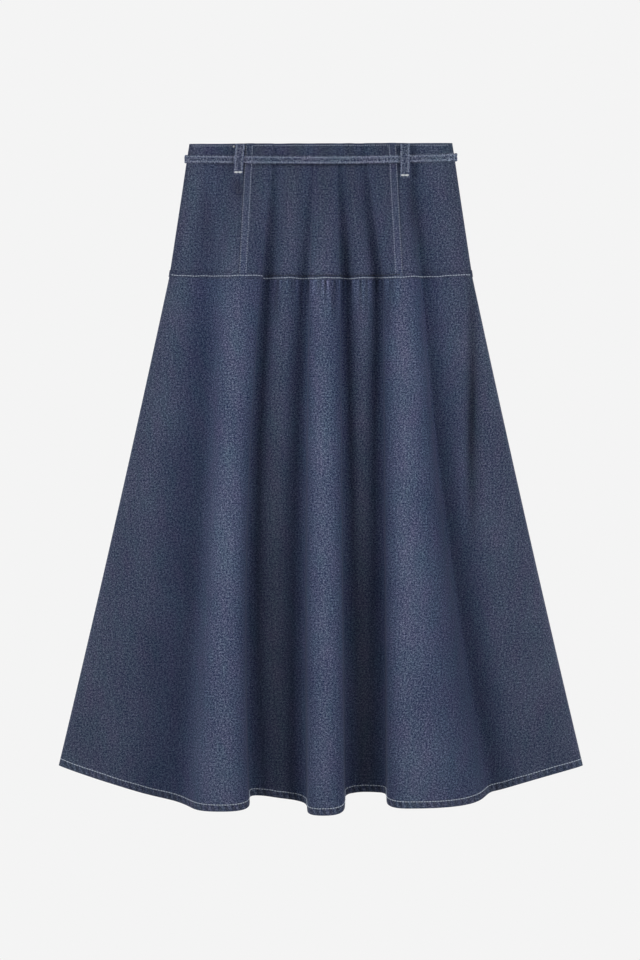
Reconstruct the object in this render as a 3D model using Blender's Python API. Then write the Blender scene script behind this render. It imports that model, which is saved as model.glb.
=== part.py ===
"""An A-line denim skirt with a hip yoke, a narrow belt and belt loops, laid flat on its back.

The pieces are the ones a maker cuts and sews: three front yoke panels, the gathered front skirt
panel, the back yoke, the back skirt panel, the belt and four belt loops. Each is a wall of cloth.
Sizes are in millimetres until a mesh is made. +X runs across the skirt, +Y up to its waist and
+Z off the surface that it lies on. The origin is on that surface, under the middle of the skirt.
"""

from collections import namedtuple
from math import cos, pi, sin

import bmesh
import bpy
import numpy as np

MM = 0.001

# Driving sizes of the laid skirt.
LENGTH = 897.0
WAIST_ACROSS = 352.0
SEAM_ACROSS = 406.0  # across the hips, at the ends of the yoke seam
KNEE_ACROSS = 550.0  # half way down the skirt panels
HEM_ACROSS = 702.0  # between the two lower corners
YOKE_DEPTH = 184.0  # waist edge to yoke seam, down the middle
CORNER_RISE = 64.0  # the hem's side corners above its lowest point

# The cloth, and how the layers lie.
CLOTH = 1.2
TURNED = 2 * CLOTH  # the cloth turned up at the hem
WAIST_TURNED = 1.9  # the waist edge, turned in and pressed
GAP = 0.3  # between two pieces that are sewn together
EDGE_RADIUS = 3.2  # of the rolled edge down each side
HEM_DEPTH = 10.5
WAIST_TURN_DEPTH = 4.0

TOP = LENGTH / 2
BOTTOM = -LENGTH / 2
CORNER_Y = BOTTOM + CORNER_RISE
SEAM_Y = TOP - YOKE_DEPTH
SEAM_CURVE = 5.0  # the yoke seam's ends above its middle
SEAM_END_Y = SEAM_Y + SEAM_CURVE
WAIST_TILT = 1.2  # the waist edge's left end below its right end

# The yoke's vertical seams, and the felled strip that lies on the centre panel along each.
PANEL_SEAM_X_WAIST = 100.5
PANEL_SEAM_X_HIP = 110.0
FELL_WIDTH = 11.0
FELL_RISE = 0.7
SEAM_LEDGE = 9.0  # the depth of the yoke's lower edge, which lies over its seam allowance
LEDGE_RISE = 0.9
STEP = 1.0  # the run over which a raised strip or a turned edge gains its height

# The belt and its loops.
BELT_WIDTH = 10.7
BELT_THICK = 2.2
BELT_CHAMFER = 0.6
BELT_Y = 425.0
BELT_RISE_LEFT = 1.6  # the belt's left end above its middle
BELT_RISE_RIGHT = 3.9
BELT_COLUMNS = 6  # places between two fold lines where the belt may touch the yoke
BAND_STEP = 0.8  # the least distance between two corners of the belt's path
LOOP_WIDTH = 12.2
LOOP_THICK = 1.6
LOOP_FOOT = 6.5  # the sewn end of a loop, flat on the yoke
LOOP_TOP_INSET = 0.6
Loop = namedtuple("Loop", "name x_top x_foot length front")
LOOPS = (
    Loop("belt_loop_front_left", -107.6, -110.7, 41.0, True),
    Loop("belt_loop_front_right", 112.4, 112.2, 45.0, True),
    Loop("belt_loop_back_left", -110.0, -110.0, 42.0, False),
    Loop("belt_loop_back_right", 110.0, 110.0, 42.0, False),
)

# How far the waist is held off the surface by the belt and loops under it.
LIFT_BELT = LOOP_THICK + BELT_THICK + 2 * GAP
LIFT_LOOP = LOOP_THICK + 2 * GAP
Lift = namedtuple("Lift", "y height")
LIFTS = (
    Lift(378.0, 0.0),
    Lift(403.0, LIFT_LOOP),
    Lift(418.0, LIFT_BELT),
    Lift(435.0, LIFT_BELT),
    Lift(TOP, LIFT_LOOP),
)

# The front's folds, from left to right: the line that each crest or trough follows down the
# skirt, the height of the cloth's face on it, and how low its hem hangs. The knee is half way
# down the skirt panel. A reach is the share of the way to the next line over which the cloth
# stays level, so a high one makes a full fold with a steep side.
Fold = namedtuple(
    "Fold",
    "name x_waist x_seam x_knee x_hem z_waist z_seam z_knee z_hem y_hem reach_left reach_right",
)
FOLDS = (
    Fold("left_swell", -160, -186, -236, -276, 6.6, 10, 14, 17, -409.4, 0.50, 0.45),
    Fold("left_dip", -148, -156, -173, -208, 4.6, 4.8, 5.2, 6, -429.0, 0.45, 0.60),
    Fold("left_fold", -84, -112, -124, -132, 9.4, 22, 36, 49, -443.0, 0.66, 1.42),
    Fold("left_groove", -58, -70, -92, -86, 4.6, 4.2, 4.6, 5.6, -424.8, 0.60, 0.35),
    Fold("left_rib", -34, -47, -62, -53, 8.6, 20, 14, 11, -428.1, 0.45, 0.45),
    Fold("middle_groove", -14, -22, -30, -28, 6.0, 8, 5.2, 5.4, -432.7, 0.35, 0.71),
    Fold("middle_fold", 5, 1, 4, 4, 7.6, 23, 36, 47, BOTTOM, 1.22, 1.36),
    Fold("right_groove", 26, 33, 36, 40, 6.0, 4.8, 4.8, 5.6, -422.1, 0.60, 0.35),
    Fold("right_rib", 37, 55, 55, 60, 9.0, 20, 9, 6.6, -420.0, 0.45, 0.45),
    Fold("far_groove", 49, 76, 78, 80, 4.6, 4.2, 4.6, 5.6, -420.9, 0.35, 0.58),
    Fold("right_fold", 88, 110, 113, 116, 9.4, 22, 36, 48, -439.0, 1.35, 1.00),
    Fold("right_dip", 118, 136, 172, 232, 5.0, 5.6, 5.6, 5.6, -419.0, 0.18, 0.25),
    Fold("right_swell", 146, 176, 228, 280, 6.8, 14, 19, 23, -404.0, 0.60, 0.45),
)

# Soft dents that start and end part way down the front. A depth is a share of how high the cloth
# stands above the rolled edges.
Dent = namedtuple("Dent", "name x_top y_top x_foot y_foot width depth")
DENTS = (
    Dent("right_side_crease", 204, 240, 200, -90, 10.0, 0.85),
    Dent("left_hem_dip", -208, -60, -208, -390, 26.0, 0.5),
    Dent("left_hip_dip", -160, 150, -172, -250, 22.0, 0.5),
)

# The small gathers under the yoke seam.
GATHERS = 17
GATHER_LEFT = -76.0
GATHER_RIGHT = 112.0
GATHER_HEIGHT = 0.8
GATHER_LENGTH = 26.0
GATHER_UNEVEN = 0.22  # how far a gather strays from even spacing, as a share of a gather
GATHER_DRIFT = 2.6  # how fast the straying turns, in radians for each gather
GATHER_LENGTH_VARIES = 0.5  # how much longer than most the longest gathers are
GATHER_LENGTH_DRIFT = 1.7
GATHER_END_SHARPNESS = 0.4  # a low one keeps the gathers deep close to the ends of the run

# The back hem, which the front hides.
BACK_HEM_DROP = 30.0  # its middle below its corners

# How finely the walls are divided.
SEAM_STEP = 2.9  # across the gathers, at the seam
SIDE_STEP = 13.0  # across the plainer cloth, at the hem
FEWEST_STEPS = 4  # between two fold lines
SIDE_PANEL_COLUMNS = 13
CENTRE_PANEL_COLUMNS = 34
DENSE = 48  # points for each span when a section is measured

# Rows of points, in millimetres below the waist edge or below the yoke seam. They lie closer
# together where the cloth lifts over the belt, at the gathers, and along the turned edges.
YOKE_ROWS = (
    *(0, WAIST_TURN_DEPTH, WAIST_TURN_DEPTH + STEP, 11, 20, 29, 42, 56, 70, 100, 135),
    *(YOKE_DEPTH - SEAM_LEDGE - STEP, YOKE_DEPTH - SEAM_LEDGE, YOKE_DEPTH),
)
FRONT_SKIRT_ROWS = (0, 5, 11, 20, 34, 60, 100, 160, 240, 330, 430, 530)
BACK_SKIRT_ROWS = (0, 80, 170, 260, 350, 440, 530)
HEM_ROWS = (HEM_DEPTH + STEP, HEM_DEPTH, 0)  # above the hem

DENIM = ("denim", (0.075, 0.09, 0.16), 0.9)
BELT_DENIM = ("belt_denim", (0.085, 0.1, 0.17), 0.88)


# ---------------------------------------------------------------- outlines


def mix(a, b, share):
    return a + (b - a) * share


def through(start, middle, end, share):
    """A smooth run from start to end that passes middle half way."""
    return mix(start, end, share) + 4 * share * (1 - share) * (middle - (start + end) / 2)


def yoke_half_width(y):
    return np.interp(y, (SEAM_END_Y, TOP), (SEAM_ACROSS, WAIST_ACROSS)) / 2


def waist_y(x):
    return TOP - WAIST_TILT * (0.5 - x / WAIST_ACROSS)


def seam_y(x):
    return SEAM_Y + SEAM_CURVE * (2 * x / SEAM_ACROSS) ** 2


def back_hem_y(x):
    return CORNER_Y - BACK_HEM_DROP * (1 - (2 * x / HEM_ACROSS) ** 2)


def lift(y):
    """How far the back yoke is held off the surface at a height."""
    return np.interp(y, [s.y for s in LIFTS], [s.height for s in LIFTS])


# ---------------------------------------------------------------- the front's folded face


def lines(values, side):
    """One value for each line down the front, with the left and right side edges as lines too."""
    left, right = side
    return np.array([left, *values, right])


def across(width):
    return (-width / 2, width / 2)


LAST = len(FOLDS) + 1  # the column number of the right side edge
EDGE_HEIGHTS = (EDGE_RADIUS, EDGE_RADIUS)
WAIST_X = lines([f.x_waist for f in FOLDS], across(WAIST_ACROSS))
SEAM_X = lines([f.x_seam for f in FOLDS], across(SEAM_ACROSS))
KNEE_X = lines([f.x_knee for f in FOLDS], across(KNEE_ACROSS))
HEM_X = lines([f.x_hem for f in FOLDS], across(HEM_ACROSS))
WAIST_Z = lines([f.z_waist for f in FOLDS], EDGE_HEIGHTS)
SEAM_Z = lines([f.z_seam for f in FOLDS], EDGE_HEIGHTS)
KNEE_Z = lines([f.z_knee for f in FOLDS], EDGE_HEIGHTS)
HEM_Z = lines([f.z_hem for f in FOLDS], EDGE_HEIGHTS)
HEM_Y = lines([f.y_hem for f in FOLDS], (CORNER_Y, CORNER_Y))
REACH_LEFT = lines([f.reach_left for f in FOLDS], (0, 0))
REACH_RIGHT = lines([f.reach_right for f in FOLDS], (0, 0))
EDGE_FULLNESS = 0.75  # how squarely the rolled side edge turns up


def even_slopes(x, y):
    """The slope at each point of a line that rises and falls only where its points do."""
    steps = np.diff(y) / np.diff(x)
    before, after = steps[:-1], steps[1:]
    turns = before * after <= 0
    between = 2 * before * after / np.where(turns, 1, before + after)
    return np.array([steps[0], *np.where(turns, 0, between), steps[-1]])


HEM_SLOPE = even_slopes(HEM_X, HEM_Y)


def bezier(a, b, c, d, t):
    return a * (1 - t) ** 3 + 3 * b * t * (1 - t) ** 2 + 3 * c * t**2 * (1 - t) + d * t**3


def span_of(column):
    """The span that a column number is in, and the share of the way across it."""
    i = np.clip(np.floor(column).astype(int), 0, LAST - 1)
    return i, column - i


def places(x, column):
    """The places across of column numbers, where line i is at x[i] and column i is on it."""
    i, t = span_of(column)
    run = x[i + 1] - x[i]
    leave = x[i] + REACH_RIGHT[i] * run
    arrive = x[i + 1] - REACH_LEFT[i + 1] * run
    return bezier(x[i], leave, arrive, x[i + 1], t)


def heights(z, column):
    """The heights: level on each line, and steep at the two side edges."""
    i, t = span_of(column)
    leave = np.where(i == 0, mix(z[i], z[i + 1], EDGE_FULLNESS), z[i])
    arrive = np.where(i == LAST - 1, mix(z[i + 1], z[i], EDGE_FULLNESS), z[i + 1])
    return bezier(z[i], leave, arrive, z[i + 1], t)


def hem_y(column):
    i, t = span_of(column)
    run = HEM_X[i + 1] - HEM_X[i]
    leave = HEM_Y[i] + HEM_SLOPE[i] * REACH_RIGHT[i] * run
    arrive = HEM_Y[i + 1] - HEM_SLOPE[i + 1] * REACH_LEFT[i + 1] * run
    return bezier(HEM_Y[i], leave, arrive, HEM_Y[i + 1], t)


def dented(x, y, z):
    """The height with the soft dents, each fading towards its ends."""
    above = z - EDGE_RADIUS
    for dent in DENTS:
        along = np.clip((dent.y_top - y) / (dent.y_top - dent.y_foot), 0, 1)
        off = (x - mix(dent.x_top, dent.x_foot, along)) / dent.width
        above = above * (1 - dent.depth * np.sin(pi * along) * np.exp(-off * off))
    return above + EDGE_RADIUS


def yoke_face(down, column):
    """Points of the front yoke's face, a share of the way down it."""
    x = mix(places(WAIST_X, column), places(SEAM_X, column), down)
    z = mix(heights(WAIST_Z, column), heights(SEAM_Z, column), down)
    y = mix(waist_y(x), seam_y(x), down)
    return np.stack([x, y, z + lift(y)], axis=-1)


def skirt_face(down, column):
    """Points of the front skirt panel's face, a share of the way down it."""
    at_seam = places(SEAM_X, column)
    x = through(at_seam, places(KNEE_X, column), places(HEM_X, column), down)
    y = mix(seam_y(at_seam) - GAP, hem_y(column), down)
    z = [heights(level, column) for level in (SEAM_Z, KNEE_Z, HEM_Z)]
    return np.stack([x, y, dented(x, y, through(*z, down))], axis=-1)


def column_at(down, x):
    """The column number of a place across the yoke."""
    columns = np.linspace(0, LAST, LAST * DENSE + 1)
    return float(np.interp(x, yoke_face(down, columns)[:, 0], columns))


def normals(face, left_side=False, right_side=False):
    """The outward normals of a grid whose rows run down the skirt. On the skirt's own sides,
    where the front meets the back, they are level."""
    n = np.cross(np.gradient(face, axis=0), np.gradient(face, axis=1))
    n /= np.linalg.norm(n, axis=-1, keepdims=True)
    if left_side:
        n[:, 0] = (-1, 0, 0)
    if right_side:
        n[:, -1] = (1, 0, 0)
    return n


def gather_height(x_at_seam, below):
    """The gathers' height: a run of uneven waves that die away below the seam."""
    place = (x_at_seam - GATHER_LEFT) / (GATHER_RIGHT - GATHER_LEFT)
    count = GATHERS * place
    phase = count + GATHER_UNEVEN * np.sin(GATHER_DRIFT * count)
    length = GATHER_LENGTH * (1 + GATHER_LENGTH_VARIES * np.sin(GATHER_LENGTH_DRIFT * count))
    ends = np.sin(pi * np.clip(place, 0, 1)) ** GATHER_END_SHARPNESS
    return GATHER_HEIGHT * ends * np.exp(-((below / length) ** 2)) * np.cos(2 * pi * phase)


# ---------------------------------------------------------------- solids


def material(name, colour, roughness):
    made = bpy.data.materials.get(name) or bpy.data.materials.new(name)
    made.use_nodes = True
    shader = made.node_tree.nodes["Principled BSDF"]
    shader.inputs["Base Color"].default_value = (*colour, 1)
    shader.inputs["Roughness"].default_value = roughness
    shader.inputs["Metallic"].default_value = 0
    return made


def add_object(name, mesh, finish):
    mesh.shade_smooth()
    mesh.set_sharp_from_angle(angle=0.7)
    mesh.materials.append(material(*finish))
    made = bpy.data.objects.new(name, mesh)
    bpy.context.scene.collection.objects.link(made)
    return made


def wall(name, face, lining, finish=DENIM):
    """A wall of cloth between two grids of points, closed round its four edges."""
    rows, columns = face.shape[:2]
    bm = bmesh.new()
    skins = [
        [[bm.verts.new(point * MM) for point in row] for row in grid]
        for grid in (face, lining)
    ]
    for skin in skins:
        for i in range(rows - 1):
            for j in range(columns - 1):
                bm.faces.new((skin[i][j], skin[i][j + 1], skin[i + 1][j + 1], skin[i + 1][j]))
    rim = [(0, j) for j in range(columns)]
    rim += [(i, columns - 1) for i in range(1, rows)]
    rim += [(rows - 1, j) for j in range(columns - 2, -1, -1)]
    rim += [(i, 0) for i in range(rows - 2, 0, -1)]
    top, under = skins
    for (i, j), (k, m) in zip(rim, rim[1:] + rim[:1]):
        bm.faces.new((top[i][j], top[k][m], under[k][m], under[i][j]))
    bmesh.ops.recalc_face_normals(bm, faces=bm.faces)
    mesh = bpy.data.meshes.new(name)
    bm.to_mesh(mesh)
    bm.free()
    return add_object(name, mesh, finish)


def ring(name, sections, finish):
    """A closed band through sections that follow each other round it."""
    count, points = sections.shape[:2]
    bm = bmesh.new()
    loops = [[bm.verts.new(point * MM) for point in loop] for loop in sections]
    for i in range(count):
        here, there = loops[i], loops[(i + 1) % count]
        for j in range(points):
            k = (j + 1) % points
            bm.faces.new((here[j], here[k], there[k], there[j]))
    bmesh.ops.recalc_face_normals(bm, faces=bm.faces)
    mesh = bpy.data.meshes.new(name)
    bm.to_mesh(mesh)
    bm.free()
    return add_object(name, mesh, finish)


# ---------------------------------------------------------------- front


def yoke_thickness(below):
    return WAIST_TURNED if below <= WAIST_TURN_DEPTH else CLOTH


def panel_seam_x(down):
    return mix(PANEL_SEAM_X_WAIST, PANEL_SEAM_X_HIP, down)


def front_yoke_panel(name, columns_of, strip_columns=0, **sides):
    """A front yoke panel. Its first and last strip_columns columns are on the felled strips."""
    shares = [below / YOKE_DEPTH for below in YOKE_ROWS]
    face = np.array([yoke_face(down, columns_of(down)) for down in shares])
    up = normals(face, **sides)
    thick = np.array([yoke_thickness(below) for below in YOKE_ROWS])
    lining = face - up * thick[:, None, None]
    rise = np.zeros(face.shape[:2])
    rise[-2:] = LEDGE_RISE
    if strip_columns:
        rise[:, :strip_columns] = np.maximum(rise[:, :strip_columns], FELL_RISE)
        rise[:, -strip_columns:] = np.maximum(rise[:, -strip_columns:], FELL_RISE)
    return wall(name, face + up * rise[:, :, None], lining)


def centre_columns(down):
    edge = panel_seam_x(down) - GAP / 2
    inner = [column_at(down, -edge + d) for d in (0, FELL_WIDTH, FELL_WIDTH + STEP)]
    outer = [column_at(down, edge - d) for d in (FELL_WIDTH + STEP, FELL_WIDTH, 0)]
    between = np.linspace(inner[-1], outer[0], CENTRE_PANEL_COLUMNS)
    return np.array([*inner, *between[1:-1], *outer])


def left_columns(down):
    edge = -panel_seam_x(down) - GAP / 2
    return np.linspace(0, column_at(down, edge), SIDE_PANEL_COLUMNS)


def right_columns(down):
    edge = panel_seam_x(down) + GAP / 2
    return np.linspace(column_at(down, edge), LAST, SIDE_PANEL_COLUMNS)


def skirt_columns():
    """Column numbers close enough together for the gathers above and the folds below."""
    found = []
    for span in range(LAST):
        part = np.linspace(span, span + 1, DENSE)
        left, right = SEAM_X[span], SEAM_X[span + 1]
        hem_run = np.hypot(np.diff(places(HEM_X, part)), np.diff(heights(HEM_Z, part))).sum()
        gathered = left > GATHER_LEFT - SEAM_STEP and right < GATHER_RIGHT
        for_gathers = (right - left) / SEAM_STEP if gathered else 0
        steps = int(np.ceil(max(for_gathers, hem_run / SIDE_STEP, FEWEST_STEPS)))
        found += [span + k / steps for k in range(steps)]
    return np.array([*found, LAST])


def front_skirt():
    columns = skirt_columns()
    at_seam = places(SEAM_X, columns)
    drop = seam_y(at_seam) - GAP - hem_y(columns)
    down = [np.full(len(columns), below / drop.mean()) for below in FRONT_SKIRT_ROWS]
    down = np.array(down + [1 - above / drop for above in HEM_ROWS])
    face = skirt_face(down, np.broadcast_to(columns, down.shape))
    face += normals(face) * gather_height(at_seam, down * drop)[:, :, None]
    thick = np.full(down.shape, CLOTH)
    thick[-2:] = TURNED
    lining = face - normals(face, left_side=True, right_side=True) * thick[:, :, None]
    wall("front_skirt", face, lining)


# ---------------------------------------------------------------- back

EDGE_ARC = 4  # faces round each rolled edge of the back
BACK_SPANS = 14


def back_line(side, y_of, inset):
    """Points across the back at one height: rolled up at the two sides and flat between."""
    turn = np.linspace(0, pi / 2, EDGE_ARC + 1)
    flat = side - EDGE_RADIUS
    radius = EDGE_RADIUS - inset
    rolled = flat + radius * np.cos(turn)
    rise = EDGE_RADIUS - radius * np.sin(turn)
    middle = np.linspace(flat, -flat, BACK_SPANS + 1)[1:-1]
    x = np.concatenate([rolled, middle, -rolled[::-1]])
    z = np.concatenate([rise, np.full(len(middle), inset), rise[::-1]])
    y = y_of(x)
    return np.stack([x, y, np.minimum(z, EDGE_RADIUS - GAP) + lift(y)], axis=-1)


def back_wall(name, rows):
    """A back panel from its rows: half its width, its y for any x, and the cloth's thickness."""
    face = [back_line(side, y_of, 0) for side, y_of, _ in rows]
    lining = [back_line(side, y_of, thick) for side, y_of, thick in rows]
    wall(name, np.array(face), np.array(lining))


def back_yoke():
    rows = []
    for below in YOKE_ROWS:
        down = below / YOKE_DEPTH
        side = mix(WAIST_ACROSS, SEAM_ACROSS, down) / 2
        rows.append((side, lambda x, s=down: mix(waist_y(x), seam_y(x), s), yoke_thickness(below)))
    back_wall("back_yoke", rows)


def back_skirt():
    depth = SEAM_END_Y - CORNER_Y
    rows = []
    for below in (*BACK_SKIRT_ROWS, *(depth - above for above in HEM_ROWS)):
        down = below / depth
        side = through(SEAM_ACROSS, KNEE_ACROSS, HEM_ACROSS, down) / 2
        thick = TURNED if below >= depth - HEM_DEPTH else CLOTH
        rows.append((side, lambda x, s=down: mix(seam_y(x) - GAP, back_hem_y(x), s), thick))
    back_wall("back_skirt", rows)


# ---------------------------------------------------------------- belt and loops


def belt_y(x):
    side = WAIST_ACROSS / 2
    rise = np.where(x < 0, BELT_RISE_LEFT, BELT_RISE_RIGHT)
    return BELT_Y + rise * (x / side) ** 2


def yoke_outline():
    """Points round the yoke, front and back, over the height that the belt covers."""
    columns = np.linspace(0, LAST, LAST * BELT_COLUMNS + 1)
    found = []
    for y in (BELT_Y - BELT_WIDTH / 2, BELT_Y, BELT_Y + BELT_RISE_RIGHT + BELT_WIDTH / 2):
        down = (TOP - y) / (TOP - SEAM_Y)
        found += [(x, z + FELL_RISE) for x, _, z in yoke_face(down, columns)]
        for turn in np.linspace(0, pi / 2, EDGE_ARC + 1):
            x = yoke_half_width(y) - EDGE_RADIUS * (1 - cos(turn))
            z = LIFT_BELT + EDGE_RADIUS * (1 - sin(turn))
            found += [(-x, z), (x, z)]
    return found


def taut(points):
    """The closed path that a band pulled tight round the points takes, anticlockwise."""
    ordered = sorted(points)
    halves = []
    for run in (ordered, ordered[::-1]):
        path = []
        for p in run:
            while len(path) > 1 and left_turn(path[-2], path[-1], p) <= 0:
                path.pop()
            path.append(p)
        halves += path[:-1]
    return halves


def left_turn(a, b, c):
    """Positive where the path through three points turns left."""
    return (b[0] - a[0]) * (c[1] - a[1]) - (b[1] - a[1]) * (c[0] - a[0])


def band_path():
    """Places round the yoke and the way out at each, a few millimetres apart or more."""
    path = []
    for p in taut(yoke_outline()):
        if not path or np.hypot(p[0] - path[-1][0], p[1] - path[-1][1]) > BAND_STEP:
            path.append(p)
    path = np.array(path)
    ahead = np.roll(path, -1, axis=0) - path
    out = np.stack([ahead[:, 1], -ahead[:, 0]], axis=-1)
    out /= np.linalg.norm(out, axis=-1, keepdims=True)
    before = np.roll(out, 1, axis=0)
    corner = out + before
    corner /= np.linalg.norm(corner, axis=-1, keepdims=True)
    ways = corner / np.sum(corner * out, axis=-1, keepdims=True)
    return path, ways


def belt():
    path, ways = band_path()
    half = BELT_WIDTH / 2
    # (across the belt, out from the yoke) round the belt's own section
    corners = (
        (-half, 0),
        (-half, BELT_THICK - BELT_CHAMFER),
        (-half + BELT_CHAMFER, BELT_THICK),
        (half - BELT_CHAMFER, BELT_THICK),
        (half, BELT_THICK - BELT_CHAMFER),
        (half, 0),
    )
    sections = []
    for (x, z), (wx, wz) in zip(path, ways):
        middle = float(belt_y(x))
        reach = [(up, out + GAP) for up, out in corners]
        sections.append([(x + wx * out, middle + up, z + wz * out) for up, out in reach])
    ring("belt", np.array(sections), BELT_DENIM)


def belt_height(x, front):
    """The height of the belt's outer face at places across the skirt."""
    path, ways = band_path()
    outer = path + ways * (GAP + BELT_THICK)
    half = outer[(ways[:, 1] > 0) == front]
    half = half[np.argsort(half[:, 0])]
    return np.interp(x, half[:, 0], half[:, 1])


def belt_loop(loop):
    """A strip sewn to the yoke at both ends, passing over the belt."""
    away = 1 if loop.front else -1
    top = TOP - LOOP_TOP_INSET
    foot = top - loop.length
    belt_middle = float(belt_y(loop.x_top))
    clear = BELT_WIDTH / 2 + GAP
    over_belt = [belt_middle + share * clear for share in (1, 0.5, -0.5, -1)]
    at = [top, top - LOOP_FOOT / 2, *over_belt, foot + LOOP_FOOT, foot]
    level = over_the_belt(loop)
    outer, inner = [], []
    for y in at:
        x = mix(loop.x_top, loop.x_foot, (top - y) / loop.length)
        sides = np.array([x - LOOP_WIDTH / 2, x, x + LOOP_WIDTH / 2])
        z = level if y in over_belt else on_yoke(sides, y, loop.front)
        outer.append([(side, y, z + away * LOOP_THICK) for side in sides])
        inner.append([(side, y, z) for side in sides])
    wall(loop.name, np.array(outer), np.array(inner), BELT_DENIM)


def over_the_belt(loop):
    """The height of a loop's inner side where it passes over the belt."""
    sides = np.linspace(loop.x_top - LOOP_WIDTH / 2, loop.x_top + LOOP_WIDTH / 2, 5)
    belt_faces = belt_height(sides, loop.front)
    return belt_faces.max() + GAP if loop.front else belt_faces.min() - GAP


def on_yoke(x, y, front):
    """The height of the yoke's outer side over a few places at one height, and a gap off it."""
    if not front:
        return float(lift(y)) - GAP
    down = (TOP - y) / (TOP - SEAM_Y)
    columns = np.array([column_at(down, place) for place in x])
    return yoke_face(down, columns)[:, 2].max() + FELL_RISE + GAP


# ---------------------------------------------------------------- the whole skirt


def clear_scene():
    for obj in list(bpy.data.objects):
        bpy.data.objects.remove(obj, do_unlink=True)


def main():
    clear_scene()
    front_yoke_panel("front_yoke_centre", centre_columns, strip_columns=2)
    front_yoke_panel("front_yoke_left", left_columns, left_side=True)
    front_yoke_panel("front_yoke_right", right_columns, right_side=True)
    front_skirt()
    back_yoke()
    back_skirt()
    belt()
    for loop in LOOPS:
        belt_loop(loop)


main()
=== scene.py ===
"""The looks of the denim skirt, laid flat on its back: cloth, seams, stitches, floor and light.

Sizes are in millimetres in the CAD's frame until a mesh is made: +X across the skirt, +Y up to
its waist, +Z off the floor. The cloth is made from the CAD's own fold lines, finer and creased.
"""

from collections import namedtuple
from math import cos, inf, pi, sin

import bpy
import numpy as np
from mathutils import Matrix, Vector


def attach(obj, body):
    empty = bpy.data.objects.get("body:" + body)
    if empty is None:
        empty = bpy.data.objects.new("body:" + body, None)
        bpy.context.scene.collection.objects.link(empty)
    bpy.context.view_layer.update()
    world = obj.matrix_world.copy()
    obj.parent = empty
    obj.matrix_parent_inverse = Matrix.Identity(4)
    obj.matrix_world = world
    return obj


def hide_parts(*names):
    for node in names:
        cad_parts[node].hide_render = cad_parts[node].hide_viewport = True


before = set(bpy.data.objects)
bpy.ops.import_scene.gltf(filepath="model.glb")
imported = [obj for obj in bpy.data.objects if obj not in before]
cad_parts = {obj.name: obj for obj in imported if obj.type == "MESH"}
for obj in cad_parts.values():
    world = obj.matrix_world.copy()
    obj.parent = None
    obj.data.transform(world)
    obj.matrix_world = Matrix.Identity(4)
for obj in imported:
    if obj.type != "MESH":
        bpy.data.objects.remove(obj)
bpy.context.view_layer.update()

MM = 0.001

# ---------------- sizes, as in the CAD

LENGTH = 897.0
WAIST_ACROSS = 352.0
SEAM_ACROSS = 406.0
KNEE_ACROSS = 550.0
HEM_ACROSS = 702.0
YOKE_DEPTH = 184.0
CORNER_RISE = 64.0
CLOTH = 1.2
TURNED = 2 * CLOTH
WAIST_TURNED = 1.9
GAP = 0.3
EDGE_RADIUS = 3.2
HEM_DEPTH = 10.5
WAIST_TURN_DEPTH = 4.0

TOP = LENGTH / 2
BOTTOM = -LENGTH / 2
CORNER_Y = BOTTOM + CORNER_RISE
SEAM_Y = TOP - YOKE_DEPTH
SEAM_CURVE = 5.0
SEAM_END_Y = SEAM_Y + SEAM_CURVE
WAIST_TILT = 1.2

PANEL_SEAM_X_WAIST = 100.5
PANEL_SEAM_X_HIP = 110.0
FELL_WIDTH = 11.0
FELL_RISE = 0.7
SEAM_LEDGE = 9.0
LEDGE_RISE = 0.9

BELT_WIDTH = 10.7
BELT_THICK = 2.2
BELT_Y = 425.0
BELT_RISE_LEFT = 1.6
BELT_RISE_RIGHT = 3.9
LOOP_WIDTH = 12.2
LOOP_THICK = 1.6
LOOP_FOOT = 6.5
LOOP_TOP_INSET = 1.7
Loop = namedtuple("Loop", "name x_top x_foot length front")
LOOPS = (
    Loop("belt_loop_front_left", -107.6, -110.7, 41.0, True),
    Loop("belt_loop_front_right", 112.4, 112.2, 45.0, True),
    Loop("belt_loop_back_left", -110.0, -110.0, 42.0, False),
    Loop("belt_loop_back_right", 110.0, 110.0, 42.0, False),
)

LIFT_BELT = LOOP_THICK + BELT_THICK + 2 * GAP
LIFT_LOOP = LOOP_THICK + 2 * GAP
Lift = namedtuple("Lift", "y height")
LIFTS = (
    Lift(378.0, 0.0),
    Lift(403.0, LIFT_LOOP),
    Lift(418.0, LIFT_BELT),
    Lift(435.0, LIFT_BELT),
    Lift(TOP, LIFT_LOOP),
)

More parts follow.
